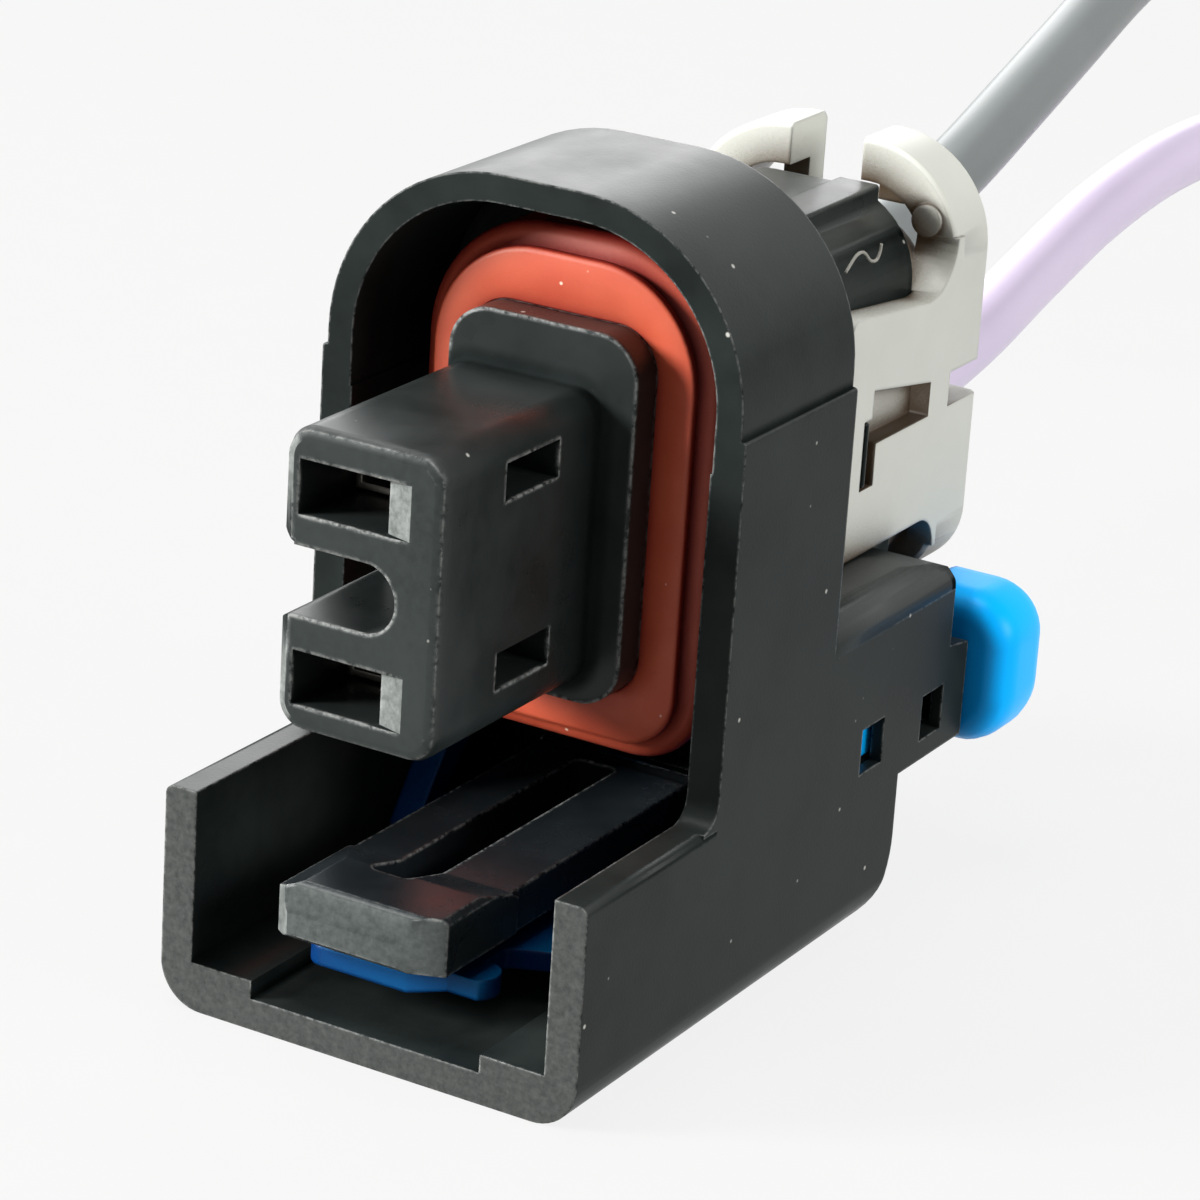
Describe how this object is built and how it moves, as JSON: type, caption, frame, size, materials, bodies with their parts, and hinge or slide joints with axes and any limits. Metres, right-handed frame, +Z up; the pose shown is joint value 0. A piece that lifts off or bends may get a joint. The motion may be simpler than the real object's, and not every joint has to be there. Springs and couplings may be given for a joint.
{
  "type": "sealed automotive connector",
  "caption": "Sealed two-way wire connector with an arched shroud, keyed nose, perimeter seal, sprung latch arm, locking slider, rear seal cover and two leads.",
  "frame": {"origin": "bottom centre of the connector's bounding box, without the free leads, on the surface it rests on", "axes": "+Z up from the flat underside to the arch, +Y towards the wires, mating face at -Y, +X to the right seen from the mating face"},
  "size_m": [0.0156, 0.1183, 0.0223],
  "materials": {
    "housing_black": "satin, moulded, lightly scuffed",
    "nose_black": "satin, moulded",
    "latch_black": "satin, moulded",
    "seal_red": "soft satin silicone",
    "slider_blue": "satin, moulded",
    "cover_grey": "matte, moulded",
    "terminal_tin": "tin plated, satin",
    "wire_seal_red": "soft satin silicone",
    "wire_dark": "satin insulation",
    "wire_violet": "satin insulation",
    "copper": "bright bare strands"
  },
  "bodies": {
    "shell": {"housing": "housing_black", "nose_retainer": "nose_black", "perimeter_seal": "seal_red", "rear_cover": "cover_grey", "terminal_upper": "terminal_tin", "terminal_lower": "terminal_tin", "wire_seal_upper": "wire_seal_red", "wire_seal_lower": "wire_seal_red", "wire_upper": "wire_dark", "wire_lower": "wire_violet", "strands_upper": "copper", "strands_lower": "copper"},
    "latch": {"latch_arm": "latch_black"},
    "slider": {"cpa_slider": "slider_blue"}
  },
  "joints": [
    {"name": "latch_press", "type": "hinge", "parent": "shell", "child": "latch", "pos_m": [-0.00042, 0.0013, 0.00353], "axis": [1, 0, 0], "range_deg": [0, 1.9], "stiffness_Nm_per_rad": 0.3},
    {"name": "slider_pull", "type": "slide", "parent": "shell", "child": "slider", "axis": [0, 1, 0], "range_m": [0, 0.0036]}
  ]
}
